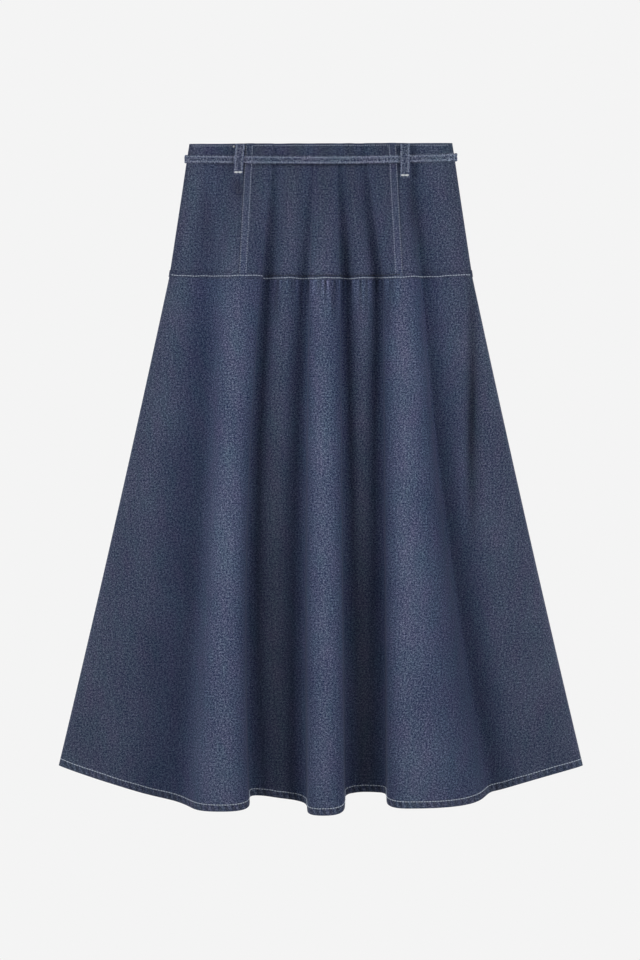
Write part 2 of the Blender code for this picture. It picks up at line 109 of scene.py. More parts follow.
Fold = namedtuple(
    "Fold",
    "name x_waist x_seam x_knee x_hem z_waist z_seam z_knee z_hem y_hem reach_left reach_right",
)
FOLDS = (
    Fold("left_swell", -160, -186, -236, -276, 6.6, 10, 14, 17, -409.4, 0.50, 0.45),
    Fold("left_dip", -148, -156, -173, -208, 4.6, 4.8, 5.2, 6, -429.0, 0.45, 0.60),
    Fold("left_fold", -84, -112, -124, -132, 9.4, 22, 36, 49, -443.0, 0.66, 1.42),
    Fold("left_groove", -58, -70, -92, -86, 4.6, 4.2, 4.6, 5.6, -424.8, 0.60, 0.35),
    Fold("left_rib", -34, -47, -62, -53, 8.6, 20, 14, 11, -428.1, 0.45, 0.45),
    Fold("middle_groove", -14, -22, -30, -28, 6.0, 8, 5.2, 5.4, -432.7, 0.35, 0.71),
    Fold("middle_fold", 5, 1, 4, 4, 7.6, 23, 36, 47, BOTTOM, 1.22, 1.36),
    Fold("right_groove", 26, 33, 36, 40, 6.0, 4.8, 4.8, 5.6, -422.1, 0.60, 0.35),
    Fold("right_rib", 37, 55, 55, 60, 9.0, 20, 9, 6.6, -420.0, 0.45, 0.45),
    Fold("far_groove", 49, 76, 78, 80, 4.6, 4.2, 4.6, 5.6, -420.9, 0.35, 0.58),
    Fold("right_fold", 88, 110, 113, 116, 9.4, 22, 36, 48, -439.0, 1.35, 1.00),
    Fold("right_dip", 118, 136, 172, 232, 5.0, 5.6, 5.6, 5.6, -419.0, 0.18, 0.25),
    Fold("right_swell", 146, 176, 228, 280, 6.8, 14, 19, 23, -404.0, 0.60, 0.45),
)

Dent = namedtuple("Dent", "name x_top y_top x_foot y_foot width depth")
DENTS = (
    Dent("right_side_crease", 204, 240, 200, -90, 10.0, 0.85),
    Dent("left_hem_dip", -208, -60, -208, -390, 26.0, 0.5),
    Dent("left_hip_dip", -160, 150, -172, -250, 22.0, 0.5),
)

GATHERS = 17
GATHER_LEFT = -76.0
GATHER_RIGHT = 112.0
GATHER_HEIGHT = 0.8
GATHER_LENGTH = 26.0
GATHER_UNEVEN = 0.22
GATHER_DRIFT = 2.6
GATHER_LENGTH_VARIES = 0.5
GATHER_LENGTH_DRIFT = 1.7
GATHER_END_SHARPNESS = 0.4
BACK_HEM_DROP = 30.0

# ---------------- what the scene adds

# How pale the cloth is along each kind of line: the dye worn off where the cloth stands up, most of
# all on the tall folds, and kept in the dips and grooves, which also keep more of the dye's blue;
# with a painted highlight on the folds and painted shade in the dips and grooves. The kind is the
# last word of a fold's name.
Fade = namedtuple("Fade", "waist yoke seam knee hem blue")
WEAR_SHADE_AND_BLUE = {
    "side": Fade(0.8, 0.9, 0.9, 0.9, 0.8, 0.0),
    "swell": Fade(1.0, 1.0, 1.0, 0.9, 0.8, 0.1),
    "fold": Fade(0.7, 1.1, 1.2, 1.3, 1.1, 0.1),
    "rib": Fade(0.7, 1.1, 1.1, 0.6, 0.6, 0.1),
    "dip": Fade(0.8, 0.8, 0.8, 0.6, 0.6, 0.7),
    "groove": Fade(0.8, 0.8, 0.7, 0.6, 0.6, 0.7),
}
YOKE_BLUE = 0.6  # the share of the lines' blue that the yoke has
SEAM_GAP = 0.05  # between the skirt's cloth and the yoke's, which hides what is below the seam
GATHER_SHADE = 0.3  # how much painted highlight the top of a gather gets, and how much painted shade its foot
TUCKS = 38  # small tucks between the gathers, right under the yoke's seam
TUCK_HEIGHT = 0.2
TUCK_LENGTH = 12.0
# how much painted highlight and painted shade the tucks get, as the gathers do
TUCK_SHADE = 0.32
TUCK_UNEVEN = 2.2
TUCK_DRIFT = 0.9
EDGE_FADE = 0.78  # the fade that the doubled cloth of the hem tends to
EDGE_FADE_SHARE = 0.6
ROPING_PITCH = 9.0  # the hem's twisted puckers
ROPING_LEAN = 0.6
ROPING_HEIGHT = 0.3
ROPING_FADE = 0.36
ROPING_UNEVEN = 1.3
ROPING_DRIFT = 31.0
ROPING_PAST_HEM = 2.0  # how far above the hem the puckers reach
ROPING_TOP_BLUR = 3.0
ROPING_FOOT_BLUR = 2.0
ROPING_SIDE_BLUR = 8.0
HEM_FADE_BLUR = 2.0
SEAM_LEDGE_START = SEAM_LEDGE + 1.0
FELL_ROUND = 0.6  # how far a felled seam's soft edge reaches past its width
FELL_FADE = 0.22  # how much paler the felled seams are
LEDGE_SHADE = 0.12  # how much painted shade darkens the yoke's turned lower edge
WAIST_EDGE_FADE = 0.3  # how much paler the turned waist's very edge is
WAIST_EDGE = 1.6
BELT_SHADE = 0.6  # how much painted shadow darkens the yoke right under the middle of the belt
BELT_SHADE_DEPTH = 4.0
BACK_FADE = 0.85
BELT_FADE = 0.89
BELT_RIDGE_FADE = 0.65  # how much paler the belt's two ridges are
BELT_RIDGE = 3.3  # from the belt's middle
BELT_RIDGE_WIDTH = 1.5
BELT_RIDGE_PUCKER = 0.35  # how much of the ridges' fade comes and goes with the puckers
LOOP_EDGE = 4.5  # from the loop's middle to its worn edges
LOOP_EDGE_FADE = 1.5

# Soft creases on the front that are too shallow for the CAD. A negative depth is a ridge. Dark
# is the share of light that the crease takes from its middle.
Crease = namedtuple("Crease", "name x_top y_top x_foot y_foot width depth dark")
CREASES = (
    Crease("left_yoke_trough", -154, 400, -151, 285, 9.0, 0.9, 0.18),
    Crease("under_left_loop", -113, 404, -108, 370, 6.0, 0.8, 0.30),
    Crease("under_right_loop", 121, 420, 124, 330, 6.0, 0.9, 0.30),
    Crease("right_yoke_trough", 127, 380, 130, 280, 9.0, 0.9, 0.15),
    Crease("middle_yoke_trough", 31, 330, 33, 262, 8.0, 0.9, 0.15),
    Crease("small_ridge", -44, 200, -50, -60, 7.0, -0.9, -0.10),
    Crease("right_side_crease", 203, 330, 201, -110, 6.5, 1.2, 0.46),
    Crease("right_dip_low", 186, -180, 206, -430, 8.0, 0.6, -0.05),
    Crease("left_pucker", -58, 262, -60, 200, 3.5, 0.4, 0.20),
    Crease("middle_pucker", 16, 262, 17, 205, 3.0, 0.4, 0.20),
    Crease("right_pucker", 88, 262, 90, 190, 4.0, 0.4, 0.20),
)

# The same on the back, where they lift the cloth off the floor.
BACK_CREASES = (
    Crease("back_left_yoke", -60, 405, -70, 275, 10.0, 0.7, 0.2),
    Crease("back_right_yoke", 66, 400, 74, 280, 12.0, 0.6, 0.2),
    Crease("back_left", -150, 220, -210, -340, 16.0, 0.7, 0.3),
    Crease("back_left_middle", -58, 255, -84, -300, 12.0, 0.7, 0.3),
    Crease("back_middle", 12, 240, 4, -360, 14.0, 0.6, 0.25),
    Crease("back_right_middle", 70, 258, 96, -260, 11.0, 0.7, 0.3),
    Crease("back_right", 158, 200, 214, -350, 18.0, 0.7, 0.3),
)
BACK_GATHER_RISE = 0.35
BACK_GATHER_FALL = 40.0
BACK_RELIEF_BLUR = 20.0  # over which the relief dies away beside the rolled sides

# The fields for what a cloth piece was cut to: its width, its length and its area, in metres.
Cut = namedtuple("Cut", "width length area")

# The grid of the cloth: numbers of rows and columns, and steps and depths in millimetres.
BACK_COLUMNS = 60
BACK_EDGE_ARC = 8
BACK_STEP = 11.0
BELT_STEP = 1.8
LOOP_ROWS = 30
ACROSS_STEP = 3.2
DOWN_STEP = 6.5
SEAM_DOWN_STEP = 1.8
SEAM_DOWN_DEPTH = 45.0
HEM_ROWS = (24, 18, 14.5, 12.5, HEM_DEPTH + 1, HEM_DEPTH, 9, 7, 5, 3, 1.2, 0)
HEM_ROWS_CLEAR = 4.0  # from the last row above them to the first of them
ROUNDING = 0.01  # so that the row at the hem's own depth counts as turned
SHARP_ANGLE = 1.0  # in radians
YOKE_ROWS = (
    *(0, 0.5, 1.2, 2.2, 3.2, WAIST_TURN_DEPTH, WAIST_TURN_DEPTH + 0.8),
    *np.arange(7, YOKE_DEPTH - SEAM_LEDGE - 3, 2.4),
    *(YOKE_DEPTH - above for above in (SEAM_LEDGE_START, SEAM_LEDGE, 7, 5, 3.5, 2.2, 1.2, 0.5, 0)),
)

# The front yoke's panels. The felled seams, where the centre one ends, are at -1 and 1.
Panel = namedtuple("Panel", "name left right columns felled")
PANELS = (
    Panel("front_yoke_left", -inf, -1, 60, False),
    Panel("front_yoke_centre", -1, 1, 190, True),
    Panel("front_yoke_right", 1, inf, 60, False),
)

# Thread: the length of a stitch, the gap to the next, and how thick it is.
Thread = namedtuple("Thread", "long gap radius")
TOPSTITCH = Thread(3.0, 0.6, 0.6)
FINE_STITCH = Thread(2.3, 0.7, 0.46)
FELL_STITCH = Thread(1.8, 1.4, 0.62)
DITCH_STITCH = Thread(1.5, 1.2, 0.8)

# Where the rows of stitches are, from the edge that each one follows.
WAIST_STITCH = 3.0
SEAM_STITCH = 2.6
SEAM_UPPER_STITCH = 5.8
SEAM_JOG = 2.8  # how far the seam's row climbs before it starts again by the left fold
SEAM_JOG_FROM = -170.0
SEAM_JOG_X = -78.0
HEM_STITCH = 9.0
FELL_STITCHES = (1.2, 9.4)
BELT_STITCH = 3.35  # from the belt's middle
BELT_STITCH_OUT = 1.95  # from the belt's inner side
LOOP_STITCH = 4.1  # from the loop's middle
LOOP_STITCH_OUT = 1.35  # from the loop's inner side
STITCH_RISE = 0.1
UPPER_ROW_SHORT = 6.0  # how far before the last gather the seam's upper row ends
WAIST_INSET = 4.0  # how far in from the skirt's sides the rows end
SEAM_INSET = 3.0
BACK_INSET = 8.0
BACK_HEM_INSET = 9.0
BACK_HEM_TRIM = 4.0  # lowers the back hem's row by this share of its panel's depth
SEAM_WANDER = ((0.35, 9.0), (0.25, 3.7))  # how far the seam's rows stray, and over what length
HEM_WANDER = 0.2
HEM_WANDER_TURN = 10
HEM_ROW_END = 0.04  # in column numbers
TACK_ABOVE_FOOT = 1.6
TACK_HEIGHT = 2.8
TACK_NECK = 0.35  # how high the tack is between its two lobes, as a share of the lobes
TACK_BARS = 26
TACK_INSET = 0.8
TACK_SLANT = 0.2
TACK_RADIUS = 0.3
THREAD_END = (-116.2, 443.2)
THREAD_END_BARS = 4
THREAD_END_HALF = 1.4
THREAD_END_RADIUS = 1.25

# The photograph's frame, and a camera that looks straight down.
IMAGE_HEIGHT_PX = 960
MM_PER_PX = 1.34
LENS_MM = 150.0
SENSOR_MM = 36.0
CAMERA_X = -1.1
CAMERA_Y = -2.5


# ---------------- outlines


def mix(a, b, share):
    return a + (b - a) * share


def through(start, middle, end, share):
    """A smooth run from start to end that passes middle half way."""
    return mix(start, end, share) + 4 * share * (1 - share) * (middle - (start + end) / 2)


def waist_y(x):
    return TOP - WAIST_TILT * (0.5 - x / WAIST_ACROSS)


def seam_y(x):
    return SEAM_Y + SEAM_CURVE * (2 * x / SEAM_ACROSS) ** 2


def back_hem_y(x):
    return CORNER_Y - BACK_HEM_DROP * (1 - (2 * x / HEM_ACROSS) ** 2)


def lift(y):
    return np.interp(y, [s.y for s in LIFTS], [s.height for s in LIFTS])


def panel_seam_x(down):
    return mix(PANEL_SEAM_X_WAIST, PANEL_SEAM_X_HIP, down)


# ---------------- the front's folded face


def lines(column, left, right):
    """A column of the fold table, between its values at the skirt's two sides."""
    return np.array([left, *(getattr(fold, column) for fold in FOLDS), right])


LAST = len(FOLDS) + 1
FINE_COLUMNS = np.linspace(0, LAST, LAST * 24 + 1)
WIDTHS = {"waist": WAIST_ACROSS, "seam": SEAM_ACROSS, "knee": KNEE_ACROSS, "hem": HEM_ACROSS}
WAIST_X, SEAM_X, KNEE_X, HEM_X = (lines(f"x_{k}", -w / 2, w / 2) for k, w in WIDTHS.items())
WAIST_Z, SEAM_Z, KNEE_Z, HEM_Z = (lines(f"z_{k}", EDGE_RADIUS, EDGE_RADIUS) for k in WIDTHS)
HEM_Y = lines("y_hem", CORNER_Y, CORNER_Y)
REACH_LEFT = lines("reach_left", 0, 0)
REACH_RIGHT = lines("reach_right", 0, 0)
KINDS = ("side", *(fold.name.split("_")[-1] for fold in FOLDS), "side")
LINE_WEAR_SHADE_AND_BLUE = np.array([WEAR_SHADE_AND_BLUE[kind] for kind in KINDS]).T
WAIST_WEAR_AND_SHADE, YOKE_WEAR_AND_SHADE, SEAM_WEAR_AND_SHADE, KNEE_WEAR_AND_SHADE, HEM_WEAR_AND_SHADE, BLUE = LINE_WEAR_SHADE_AND_BLUE
EDGE_FULLNESS = 0.75  # how full the cloth is beside the skirt's two sides, from 0 to 1


def even_slopes(x, y):
    steps = np.diff(y) / np.diff(x)
    before, after = steps[:-1], steps[1:]
    turns = before * after <= 0
    between = 2 * before * after / np.where(turns, 1, before + after)
    return np.array([steps[0], *np.where(turns, 0, between), steps[-1]])


HEM_SLOPE = even_slopes(HEM_X, HEM_Y)


def bezier(a, b, c, d, t):
    return a * (1 - t) ** 3 + 3 * b * t * (1 - t) ** 2 + 3 * c * t**2 * (1 - t) + d * t**3


def span_of(column):
    i = np.clip(np.floor(column).astype(int), 0, LAST - 1)
    return i, column - i


def places(x, column):
    i, t = span_of(column)
    run = x[i + 1] - x[i]
    leave = x[i] + REACH_RIGHT[i] * run
    arrive = x[i + 1] - REACH_LEFT[i + 1] * run
    return bezier(x[i], leave, arrive, x[i + 1], t)


def heights(z, column):
    i, t = span_of(column)
    leave = np.where(i == 0, mix(z[i], z[i + 1], EDGE_FULLNESS), z[i])
    arrive = np.where(i == LAST - 1, mix(z[i + 1], z[i], EDGE_FULLNESS), z[i + 1])
    return bezier(z[i], leave, arrive, z[i + 1], t)


def hem_y(column):
    i, t = span_of(column)
    run = HEM_X[i + 1] - HEM_X[i]
    leave = HEM_Y[i] + HEM_SLOPE[i] * REACH_RIGHT[i] * run
    arrive = HEM_Y[i + 1] - HEM_SLOPE[i + 1] * REACH_LEFT[i + 1] * run
    return bezier(HEM_Y[i], leave, arrive, HEM_Y[i + 1], t)


def skirt_drop(column):
    """How far the hem is below the seam along the front skirt's panel."""
    return seam_y(places(SEAM_X, column)) - SEAM_GAP - hem_y(column)


def between_lines(tables, column, x, lines_x):
    """The lines' values of each table, with an even run from one line's place to the next's."""
    i, _ = span_of(column)
    left = np.take_along_axis(lines_x, i[:, None, :], axis=1)[:, 0]
    right = np.take_along_axis(lines_x, i[:, None, :] + 1, axis=1)[:, 0]
    share = np.clip((x - left) / (right - left), 0, 1)
    share = share * share * (3 - 2 * share)
    return [mix(values[i], values[i + 1], share) for values in tables]


def dented(x, y, z):
    above = z - EDGE_RADIUS
    for dent in DENTS:
        along = np.clip((dent.y_top - y) / (dent.y_top - dent.y_foot), 0, 1)
        off = (x - mix(dent.x_top, dent.x_foot, along)) / dent.width
        above = above * (1 - dent.depth * np.sin(pi * along) * np.exp(-off * off))
    return above + EDGE_RADIUS


def crease_share(crease, x, y):
    """1 in the middle of a crease, and less towards its sides and its ends."""
    share = np.clip((crease.y_top - y) / (crease.y_top - crease.y_foot), 0, 1)
    off = (x - mix(crease.x_top, crease.x_foot, share)) / crease.width
    return np.sin(pi * share) * np.exp(-off * off)


def crease_depth(x, y, creases=CREASES):
    """How far the soft creases let the cloth down."""
    return sum(crease.depth * crease_share(crease, x, y) for crease in creases)


def crease_light(x, y, creases=CREASES):
    """The share of light that the soft creases leave."""
    light = np.ones(np.shape(x))
    for crease in creases:
        light = light * (1 - crease.dark * crease_share(crease, x, y))
    return light


def gather_place(x_at_seam):
    """The share of the gathered stretch, and how strong the gathers are there."""
    place = (x_at_seam - GATHER_LEFT) / (GATHER_RIGHT - GATHER_LEFT)
    return place, np.sin(pi * np.clip(place, 0, 1)) ** GATHER_END_SHARPNESS


def gather_height(x_at_seam, below):
    place, ends = gather_place(x_at_seam)
    count = GATHERS * place
    phase = count + GATHER_UNEVEN * np.sin(GATHER_DRIFT * count)
    length = GATHER_LENGTH * (1 + GATHER_LENGTH_VARIES * np.sin(GATHER_LENGTH_DRIFT * count))
    return GATHER_HEIGHT * ends * np.exp(-((below / length) ** 2)) * np.cos(2 * pi * phase)


def tuck_wave(x_at_seam, below):
    """The small tucks, from -1 to 1."""
    place, ends = gather_place(x_at_seam)
    count = TUCKS * place
    wave = np.sin(2 * pi * count + TUCK_UNEVEN * np.sin(TUCK_DRIFT * count))
    return ends * np.exp(-((below / TUCK_LENGTH) ** 2)) * wave


def yoke_face(down, column):
    x = mix(places(WAIST_X, column), places(SEAM_X, column), down)
    z = mix(heights(WAIST_Z, column), heights(SEAM_Z, column), down)
    y = mix(waist_y(x), seam_y(x), down)
    return np.stack([x, y, z + lift(y) - crease_depth(x, y)], axis=-1)


def skirt_face(down, column):
    at_seam = places(SEAM_X, column)
    top = seam_y(at_seam) - SEAM_GAP
    x = through(at_seam, places(KNEE_X, column), places(HEM_X, column), down)
    y = mix(top, hem_y(column), down)
    z = [heights(level, column) for level in (SEAM_Z, KNEE_Z, HEM_Z)]
    z = dented(x, y, through(*z, down)) - crease_depth(x, y)
    z = z + gather_height(at_seam, top - y) + TUCK_HEIGHT * tuck_wave(at_seam, top - y)
    return np.stack([x, y, z], axis=-1)


def normals(face, left_side=False, right_side=False):
    n = np.cross(np.gradient(face, axis=0), np.gradient(face, axis=1))
    n /= np.linalg.norm(n, axis=-1, keepdims=True)
    if left_side:
        n[:, 0] = (-1, 0, 0)
    if right_side:
        n[:, -1] = (1, 0, 0)
    return n


NUDGE = 0.002  # a step down the cloth, or of a column number, that is small enough for a slope


def on_cloth(face_of, down, column, rise):
    """Points of a path that is drawn on a cloth's face and moved out, and the way out at each."""
    ahead = face_of(down + NUDGE, column) - face_of(down - NUDGE, column)
    beside = face_of(down, column + NUDGE) - face_of(down, column - NUDGE)
    out = np.cross(ahead, beside)
    out /= np.linalg.norm(out, axis=-1, keepdims=True)
    return face_of(down, column) + out * rise, out


# ---------------- meshes


def add_piece(name, points, faces, materials):
    """A mesh that rides on the skirt, from points in millimetres."""
    mesh = bpy.data.meshes.new(name)
    mesh.from_pydata((points * MM).tolist(), [], faces.tolist())
    for made in materials:
        mesh.materials.append(made)
    mesh.shade_smooth()
    obj = bpy.data.objects.new(name, mesh)
    bpy.context.scene.collection.objects.link(obj)
    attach(obj, "root")
    return obj


def set_cloth_uv(obj, flat):
    """Gives each point its place in the flat cloth, in metres."""
    corner = np.empty(len(obj.data.loops), np.int32)
    obj.data.loops.foreach_get("vertex_index", corner)
    obj.data.uv_layers.new(name="cloth").data.foreach_set("uv", flat[corner].ravel())


def set_wear_shade_and_blue(obj, fade, blue):
    """Stores how pale or dark the cloth is at each point, from worn dye and painted shade, and how
    blue its dye is.
    """
    for name, values in (("fade", fade), ("blue", blue)):
        made = obj.data.attributes.new(name, "FLOAT", "POINT")
        made.data.foreach_set("value", np.asarray(values, np.float32).ravel())


def steps_of(points):
    """The lengths of the steps from point to point along a path, or along each row of a grid."""
    return np.linalg.norm(np.diff(points, axis=-2), axis=-1)


def run_of(steps):
    """How far along each point is, from the steps between the points."""
    return np.concatenate([0 * steps[..., :1], np.cumsum(steps, axis=-1)], axis=-1)


def grain(face):
    """Each point's place in the flat cloth: along the weft from the middle, and up the warp."""
    weft = run_of(steps_of(face))
    middle = np.argmin(np.abs(face[0, :, 0]))
    weft -= weft[:, middle : middle + 1]
    return np.stack([weft, face[:, :, 1]], axis=-1).reshape(-1, 2) * MM


def wall(node, face, lining, fade, blue=0.0, finishes=None):
    """A wall of cloth between two grids: right side on the face, wrong side on the lining."""
    rows, columns = face.shape[:2]
    index = np.arange(rows * columns).reshape(rows, columns)
    quads = np.stack([index[:-1, :-1], index[1:, :-1], index[1:, 1:], index[:-1, 1:]], axis=-1)
    quads = quads.reshape(-1, 4)
    rim = np.concatenate([index[0], index[1:, -1], index[-1, -2::-1], index[-2:0:-1, 0]])
    ahead = np.roll(rim, -1)
    under = rows * columns
    edge = np.stack([rim, ahead, ahead + under, rim + under], axis=-1)
    faces = np.concatenate([quads, quads[:, ::-1] + under, edge])
    points = np.concatenate([face.reshape(-1, 3), lining.reshape(-1, 3)])
    out = np.cross(face[1, 0] - face[0, 0], face[0, 1] - face[0, 0])
    if out @ (face - lining).mean(axis=(0, 1)) < 0:
        faces = faces[:, ::-1]
    obj = add_piece(f"{node}_cloth", points, faces, finishes or (DENIM, DENIM_WRONG))
    sides = np.repeat([0, 1, 0], [len(quads), len(quads), len(edge)])
    obj.data.polygons.foreach_set("material_index", sides)
    obj.data.set_sharp_from_angle(angle=SHARP_ANGLE)
    flat = grain(face)
    set_cloth_uv(obj, np.concatenate([flat, flat]))
    fade = np.broadcast_to(fade, (rows, columns)).ravel()
    blue = np.broadcast_to(blue, (rows, columns)).ravel()
    set_wear_shade_and_blue(obj, np.concatenate([fade, np.ones_like(fade)]), np.concatenate([blue, 0 * blue]))
    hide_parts(node)
    return obj


STITCH_SIDES = 6
STITCH_RINGS = ((-1.0, 0.35), (-0.85, 0.85), (-0.3, 1.0), (0.3, 1.0), (0.85, 0.85), (1.0, 0.35))
STITCH_ARCH = 0.9  # how far a stitch's ends go down into the cloth, in thread radii
STITCH_WANDER = 0.12  # how far the stitches stray from their even steps
STITCH_WANDER_TURN = 2.4


def tube_faces(rings):
    """The faces between rings of points, from the points' numbers."""
    beside = np.roll(rings, -1, axis=1)
    return np.stack([rings[:-1], beside[:-1], beside[1:], rings[1:]], axis=-1).reshape(-1, 4)


def along(path, distance):
    """Points at distances along a path, with whatever else its columns hold after the place."""
    run = run_of(steps_of(path[:, :3]))
    return np.stack([np.interp(distance, run, values) for values in path.T], axis=-1)


def thread_piece(name, points, finish):
    """One piece from the points of many stitches or bars."""
    count, each = points.shape[:2]
    one = tube_faces(np.arange(each).reshape(-1, STITCH_SIDES))
    faces = one[None] + each * np.arange(count)[:, None, None]
    return add_piece(name, points.reshape(-1, 3), faces.reshape(-1, 4), (finish,))


def stitches(name, rows, thread, finish):
    """Rows of stitches. Each row is a path and the way out of the cloth at its points."""
    points = []
    for path, out in rows:
        both = np.concatenate([path, out], axis=1)
        length = steps_of(path).sum()
        start = np.arange(thread.gap, length - thread.long, thread.long + thread.gap)
        start = start + STITCH_WANDER * np.sin(STITCH_WANDER_TURN * np.arange(len(start)))
        a, b = along(both, start), along(both, start + thread.long)
        points.append(stitch_points(a, b, thread.radius))
    return thread_piece(name, np.concatenate(points), finish)


def stitch_points(a, b, radius):
    """The points of one thin arched bar from each a to each b, which hold place and way out."""
    middle, half = (a[:, :3] + b[:, :3]) / 2, (b[:, :3] - a[:, :3]) / 2
    out = a[:, 3:] + b[:, 3:]
    out /= np.linalg.norm(out, axis=1, keepdims=True)
    side = np.cross(half, out)
    side /= np.linalg.norm(side, axis=1, keepdims=True)
    turns = 2 * pi * np.arange(STITCH_SIDES) / STITCH_SIDES
    found = []
    for place, width in STITCH_RINGS:
        rise = radius * (0.5 - STITCH_ARCH * place**2)
        centre = middle + half * place + out * rise
        for turn in turns:
            found.append(centre + radius * width * (side * cos(turn) + out * sin(turn)))
    return np.stack(found, axis=1)


# ---------------- materials


class Nodes:
    """Builds a material's node tree, a node at a time."""

    def __init__(self, name):
        self.material = bpy.data.materials.new(name)
        self.material.use_nodes = True
        self.tree = self.material.node_tree
        self.shader = self.tree.nodes["Principled BSDF"]

    def add(self, kind, inputs=(), **settings):
        node = self.tree.nodes.new(kind)
        for key, value in settings.items():
            setattr(node, key, value)
        for key, value in dict(inputs).items():
            self.set(node.inputs[key], value)
        return node

    def set(self, socket, value):
        if isinstance(value, bpy.types.NodeSocket):
            self.tree.links.new(value, socket)
        else:
            socket.default_value = value

    def surface(self, values):
        """Sets the shader's own sockets by their names, to a value or to another node's output."""
        for key, value in values.items():
            self.set(self.shader.inputs[key], value)

    def maths(self, operation, a, b=0.0):
        return self.add("ShaderNodeMath", {0: a, 1: b}, operation=operation).outputs[0]

    def plus(self, a, b):
        return self.maths("ADD", a, b)

    def times(self, a, b):
        return self.maths("MULTIPLY", a, b)

    def noise(self, uv, scale, detail=2.0, rough=0.5):
        """Noise with a grain of 1/scale metres across and along, from 0 to 1."""
        scaled = self.add("ShaderNodeVectorMath", {0: uv, 1: (*scale, 1)}, operation="MULTIPLY")
        inputs = {"Vector": scaled.outputs[0], "Scale": 1, "Detail": detail, "Roughness": rough}
        return self.add("ShaderNodeTexNoise", inputs, noise_dimensions="2D").outputs[0]

    def blend(self, share, a, b, blend_type="MIX"):
        node = self.add("ShaderNodeMix", {0: share}, data_type="RGBA", blend_type=blend_type)
        self.set(node.inputs[6], a)
        self.set(node.inputs[7], b)
        return node.outputs[2]


def rgba(r, g, b):
    return (r, g, b, 1.0)


TWILL_PITCH_M = 0.0011
TWILL_LEAN = 0.5  # the twill line's run across, for each unit that it rises
BLUE_TINT = (-0.13, 0.0, 0.27)  # how much unworn dye adds to red, green and blue
CAST_TINT = (0.36, -0.10, 0.08)  # how far red, green and blue wander between violet and teal
FLECK = 0.4  # how much of the cloth's right side is pale weft
FLECK_POWER = 1.8  # above 1, the pale flecks are few and bright
FLECK_IN_DARK = 0.6  # how strong the flecks stay where the worn dye and painted shade come to 0
THREAD_SHADE = 0.7  # how dark a thread is between its strands


def denim(name, dark, light, contrast=1.0, turned=False):
    """Twill: dark warp threads over a pale weft, with slubs along the warp."""
    n = Nodes(name)
    uv = n.add("ShaderNodeUVMap", uv_map="cloth").outputs[0]
    split = n.add("ShaderNodeSeparateXYZ", {0: uv})
    weft, warp = (1, 0) if turned else (0, 1)
    lean = n.times(split.outputs[warp], -TWILL_LEAN)
    turns = n.times(n.plus(split.outputs[weft], lean), 2 * pi / TWILL_PITCH_M)
    twill = n.times(n.maths("SINE", turns), 0.5)

    def grained(across_scale, along_scale):
        return (along_scale, across_scale) if turned else (across_scale, along_scale)

    slub = n.noise(uv, grained(800, 90))
    speckle = n.noise(uv, grained(430, 460), 5, 0.95)
    streak = n.noise(uv, grained(260, 14), 1)
    mottle = n.noise(uv, (14, 9), 3)
    cast = n.noise(uv, grained(52, 22), 2)
    parts = (
        (twill, 0.0, 0.11),
        (slub, 0.5, 0.14),
        (speckle, 0.5, 3.2),
        (streak, 0.5, 0.08),
        (mottle, 0.5, 0.17),
    )
    # the cloth's worn dye with its painted highlight and painted shade, as one factor on the base
    # colour
    fade = n.add("ShaderNodeAttribute", attribute_name="fade").outputs["Fac"]
    blue = n.add("ShaderNodeAttribute", attribute_name="blue").outputs["Fac"]
    share = 0.0
    for value, middle, weight in parts:
        share = n.plus(share, n.times(n.maths("SUBTRACT", value, middle), weight))
    keen = n.plus(n.times(fade, 1 - FLECK_IN_DARK), FLECK_IN_DARK)
    share = n.plus(n.times(share, n.times(keen, contrast)), FLECK)
    share = n.maths("POWER", n.add("ShaderNodeClamp", {0: share}).outputs[0], FLECK_POWER)
    threads = n.blend(share, dark, light)
    channels = {}
    for i, (more, shift) in enumerate(zip(BLUE_TINT, CAST_TINT)):
        tint = n.plus(n.times(blue, more), 1 - shift / 2)
        channels[i] = n.times(fade, n.plus(n.times(cast, shift), tint))
    tint = n.add("ShaderNodeCombineColor", channels).outputs[0]
    relief = n.plus(n.times(twill, 0.5), n.plus(slub, speckle))
    bump = n.add("ShaderNodeBump", {"Height": relief, "Distance": 0.00025, "Strength": 0.6})
    look = {"Base Color": n.blend(1.0, threads, tint, "MULTIPLY"), "Normal": bump.outputs[0]}
    look |= {"Roughness": 0.9, "Specular IOR Level": 0.2}
    n.surface(look | {"Sheen Weight": 0.06, "Sheen Roughness": 0.5})
    return n.material


def thread_finish(name, colour):
    n = Nodes(name)
    place = n.add("ShaderNodeTexCoord").outputs["Object"]
    twist = n.add("ShaderNodeTexNoise", {"Vector": place, "Scale": 900, "Detail": 2}).outputs[0]
    darker = rgba(*(THREAD_SHADE * c for c in colour[:3]))
    bump = n.add("ShaderNodeBump", {"Height": twist, "Distance": 0.0001, "Strength": 0.6})
    look = {"Base Color": n.blend(twist, darker, colour), "Normal": bump.outputs[0]}
    n.surface(look | {"Roughness": 0.75, "Sheen Weight": 0.1})
    return n.material


INDIGO = rgba(0.001, 0.009, 0.049)
WORN = rgba(0.273, 0.313, 0.415)
DENIM = denim("denim_right_side", INDIGO, WORN)
DENIM_WRONG = denim("denim_wrong_side", rgba(0.12, 0.14, 0.19), rgba(0.55, 0.57, 0.62))
DENIM_BELT = denim("denim_belt", INDIGO, WORN, 2.4, turned=True)
DENIM_LOOP = denim("denim_loop", INDIGO, WORN, 2.0)
THREAD_PALE = thread_finish("thread_off_white", rgba(0.50, 0.57, 0.69))
THREAD_BLUE = thread_finish("thread_grey_blue", rgba(0.31, 0.355, 0.45))
THREAD_DARK = thread_finish("thread_indigo", rgba(0.008, 0.011, 0.025))
THREAD_WHITE = thread_finish("thread_white", rgba(0.80, 0.82, 0.85))


# ---------------- front


